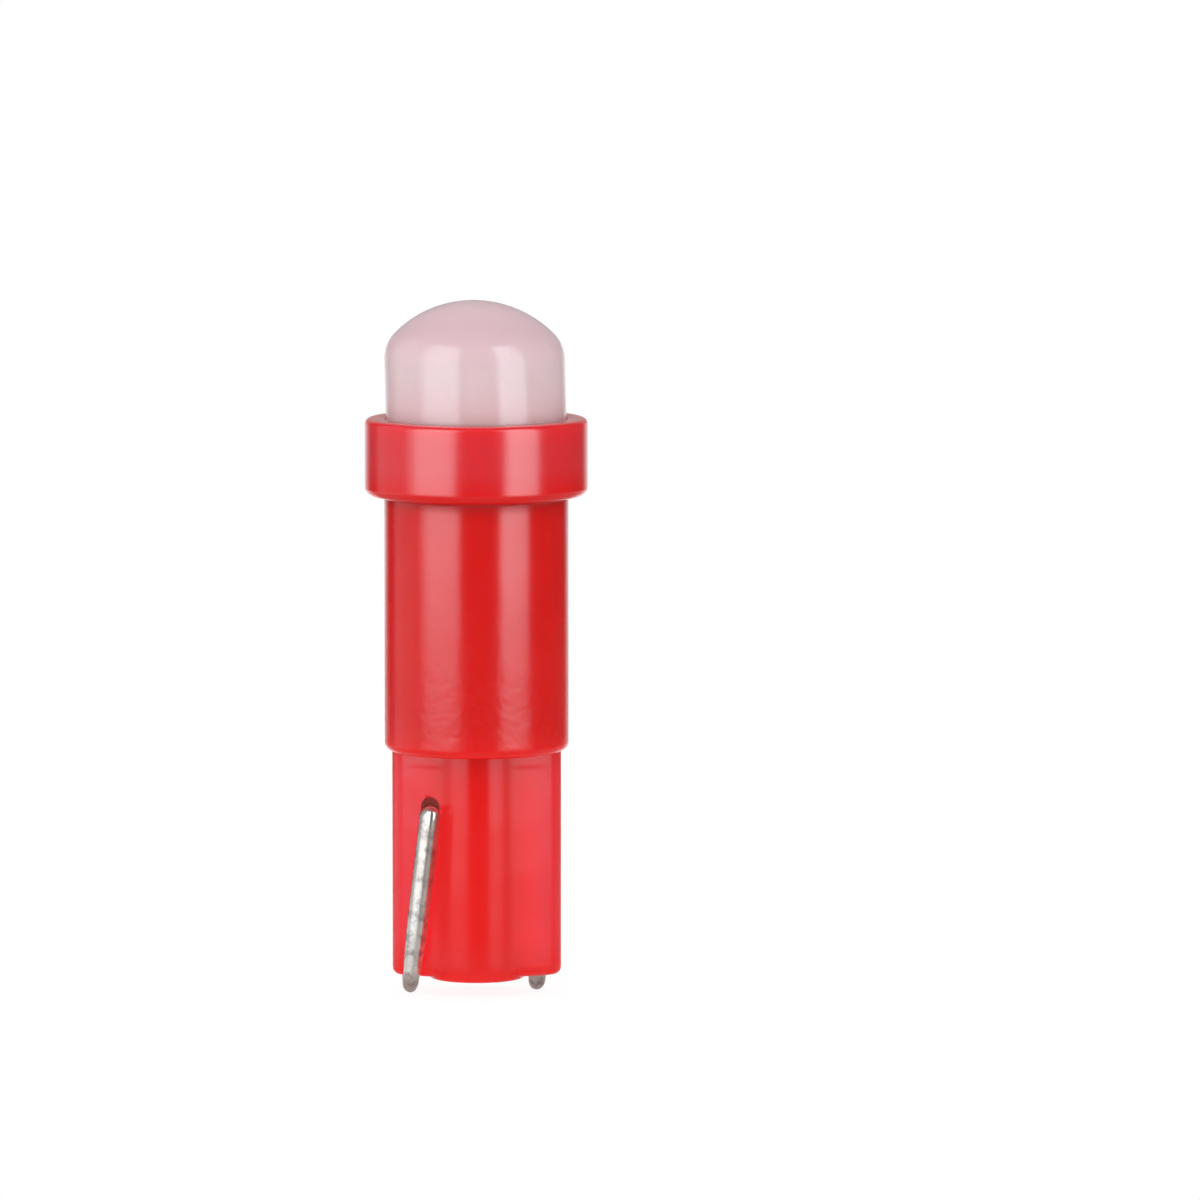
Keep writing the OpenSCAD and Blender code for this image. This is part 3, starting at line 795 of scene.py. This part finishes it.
def tinned_wire():
    """Tin over copper wire, with dull patches, pits and marks along it. Low on the face it is painted
    paler, a painted highlight, and at its foot it carries painted shade.
    """
    finish = Finish("tinned_wire", Metallic=0.9)
    patches = finish.noise(0.45 * mm, 4.0, 0.6).between(0.45, 0.7)
    pits = finish.noise(0.3 * mm, 2.0, 0.5).between(0.5, 0.7)
    drawn = finish.noise(0.03 * mm, 2.0, 0.5, finish.stretched((1, 1, 0.06)))
    tin = finish.mix(patches, (0.68, 0.58, 0.53), (0.54, 0.45, 0.41))
    z = finish.along("Z")
    # painted highlight: low on the face the tin is made paler, where the strip box's gleam is weak
    tin = finish.mix(z.between(0.6 * mm, 2.9 * mm), (0.95, 0.86, 0.80), tin)
    # painted shade at the wire's foot, browned by a painted reflection of the wedge's red
    tin = finish.mix(z.between(0, 0.4 * mm), (0.66, 0.52, 0.47), tin)
    finish.set(
        Base_Color=finish.mix(pits * 0.75, tin, (0.30, 0.23, 0.24)),
        Roughness=0.19 + 0.03 * patches + 0.03 * drawn,
    )
    finish.relief(0.0010 * mm * patches - 0.0010 * mm * pits + 0.0004 * mm * drawn)
    return finish


tin = tinned_wire()
for name, node, side, foot_x, foot_z, seed in (
        ("front_wire", "front_lead", -1, 1.81 * mm, turn_z, 3),
        ("rear_wire", "rear_lead", 1, 1.63 * mm, turn_z - 0.07 * mm, 8)):
    wire = lead_wire(name, side, foot_x, foot_z, seed)
    coat(wire, tin)
    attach(wire, "root")
    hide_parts(node)
    # the red beside a wire stays vivid, because the wire casts no shadow and no tint on it
    wire.visible_shadow = wire.visible_diffuse = False


# ---- Studio ----
# A round white plinth on white, soft light from all round and a weak key in front. Tall strip boxes
# give the gloss its bars, and grey cards keep it deep between them. The camera looks 6 degrees down.

def add(name, data, location=(0, 0, 0)):
    """Puts a new object into the scene."""
    thing = bpy.data.objects.new(name, data)
    thing.location = location
    bpy.context.scene.collection.objects.link(thing)
    return thing


def around(azimuth, distance, z):
    """A place at an azimuth counted from the camera's side towards +X."""
    a = math.radians(azimuth)
    return Vector((distance * math.sin(a), -distance * math.cos(a), z))


def facing(direction):
    """The turn that points a lamp or camera along a direction."""
    return direction.to_track_quat("-Z", "Y").to_euler()


def strip_box(name, start, end, radiance, foot=0.1, faded=8, waning=0.0):
    """An upright light seen by gloss alone, between two azimuths, whose foot has another strength.

    It sets in over its first degrees, as many as faded says, and ends over its last few. In between
    it loses the share waning."""
    end_fade, foot_high = 8, 14 * mm
    spread, middle = math.radians(end - start), (start + end) / 2
    width, height = 2 * box_far * math.tan(spread / 2), box_high - box_low
    light = bpy.data.lights.new(name, "AREA")
    light.shape, light.size, light.size_y = "RECTANGLE", width, height
    light.energy = radiance * math.pi * width * height
    light.color = (0.82, 0.95, 1.0)
    light.use_nodes = True
    tree = light.node_tree
    place = tree.nodes.new("ShaderNodeNewGeometry").outputs["Parametric"]
    split = tree.nodes.new("ShaderNodeSeparateXYZ")
    tree.links.new(place, split.inputs[0])
    over, up = Value(tree, split.outputs[0]), Value(tree, split.outputs[1])
    strength = foot + (1 - foot) * up.between(0, foot_high / height)
    strength = strength * over.between(0, faded / (end - start))
    strength = strength * (1 - over).between(0, end_fade / (end - start))
    strength = strength * (1 - waning * over.between(0.3, 1))
    put(tree, tree.nodes["Emission"].inputs["Strength"], strength)
    lamp = add(name, light, around(middle, box_far, (box_low + box_high) / 2))
    lamp.rotation_euler = facing(around(middle, -1, 0))
    lamp.visible_camera = lamp.visible_diffuse = False


box_low, box_high, box_far = -9 * mm, 125 * mm, 80 * mm
strip_box("left_box", -79, -18, 3.4, faded=20)
strip_box("right_box", 26, 71, 4.2, waning=0.3)
strip_box("side_box", -126, -75, 0.4, foot=2.2)

key_size, key_radiance, key_far, key_up, key_aim_z = 120 * mm, 0.9, 120 * mm, 60 * mm, 9 * mm
key = bpy.data.lights.new("key", "AREA")
key.size, key.energy = key_size, key_radiance * math.pi * key_size**2
key_lamp = add("key", key, around(-16, key_far, key_up))
key_lamp.rotation_euler = facing(Vector((0, 0, key_aim_z)) - key_lamp.location)
key_lamp.visible_camera = key_lamp.visible_glossy = False

world = bpy.data.worlds.new("white")
world.use_nodes = True
world.node_tree.nodes["Background"].inputs["Color"].default_value = (1, 1, 1, 1)
rays_seen = [Value(world.node_tree, world.node_tree.nodes.new("ShaderNodeLightPath").outputs[kind])
             for kind in ("Is Camera Ray", "Is Glossy Ray", "Is Transmission Ray")]
seen = rays_seen[0].math("MAXIMUM", rays_seen[1]).math("MAXIMUM", rays_seen[2])
put(world.node_tree, world.node_tree.nodes["Background"].inputs["Strength"], 0.96 + 0.04 * seen)
bpy.context.scene.world = world


def surface(finish, shader):
    """Makes a shader the finish's whole surface."""
    finish.tree.links.new(shader.socket, finish.tree.nodes["Material Output"].inputs["Surface"])


def plinth_white():
    """White that keeps a little of the bulb's shadow round its foot and fades into the background."""
    finish = Finish("plinth_white")
    lit = finish.node("ShaderNodeBsdfDiffuse", Color=(0.12, 0.12, 0.12))
    lift = finish.node("ShaderNodeEmission", Color=(1.0, 1.0, 1.0), Strength=0.9)
    near = finish.node("ShaderNodeAddShader")
    finish.tree.links.new(lit.socket, near.socket.node.inputs[0])
    finish.tree.links.new(lift.socket, near.socket.node.inputs[1])
    plain = finish.node("ShaderNodeEmission", Color=(1.0, 1.0, 1.0), Strength=1.0)
    far = finish.node("ShaderNodeVectorMath", {"operation": "LENGTH"}, "Value", Vector=finish.place)
    blend = finish.node("ShaderNodeMixShader", Fac=far.between(0.3 * plinth_r, 0.8 * plinth_r))
    finish.tree.links.new(near.socket, blend.socket.node.inputs[1])
    finish.tree.links.new(plain.socket, blend.socket.node.inputs[2])
    surface(finish, blend)
    return finish


def card_grey():
    """Grey that glows faintly, paler behind, as the background is, and low down, as a table is."""
    finish = Finish("card_grey")
    z = finish.along("Z")
    low = 1 - z.between(-45 * mm, -20 * mm)
    band = z.between(-40 * mm, -22 * mm) * (1 - z.between(-19 * mm, -12 * mm))
    behind = finish.along("Y").between(0.8 * card_r, 0.96 * card_r)
    behind = behind * (0.85 - 0.55 * z.between(14 * mm, 28 * mm))
    surface(finish, finish.node(
        "ShaderNodeEmission", Color=(1.0, 1.0, 1.0), Strength=0.05 + 0.36 * low + 0.42 * band + behind))
    return finish


plinth_r, plinth_h = 15 * mm, 1 * mm
rest_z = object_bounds()[0][2]
plinth = grid_mesh("plinth", turned(np.array(
    [(0, rest_z - plinth_h), (plinth_r, rest_z - plinth_h), (plinth_r, rest_z), (0, rest_z)]), 96))
shut(plinth)
coat(plinth, plinth_white())
plinth.visible_glossy = False

card_r, card_low, card_high = 150 * mm, -60 * mm, 260 * mm
cards = grid_mesh("grey_cards", turned(np.array(
    [(0, card_low), (card_r, card_low), (card_r, card_high), (0, card_high)]), 48))
shut(cards)
coat(cards, card_grey())
for ray in ("camera", "diffuse", "transmission", "volume_scatter", "shadow"):
    setattr(cards, "visible_" + ray, False)

lens = bpy.data.cameras.new("camera")
camera_far, camera_up, frame_w = 300 * mm, math.radians(6), 32.6 * mm
lens.sensor_width, lens.lens = 36, 36 * camera_far / frame_w
lens.clip_start, lens.clip_end = 0.01, 10
aim = Vector((3.356, 0, 10.33)) * mm
camera = add("camera", lens, (
    0, -camera_far * math.cos(camera_up), aim.z + camera_far * math.sin(camera_up)))
camera.rotation_euler = facing(aim - camera.location)
bpy.context.scene.camera = camera
bpy.context.scene.view_settings.view_transform = "Standard"
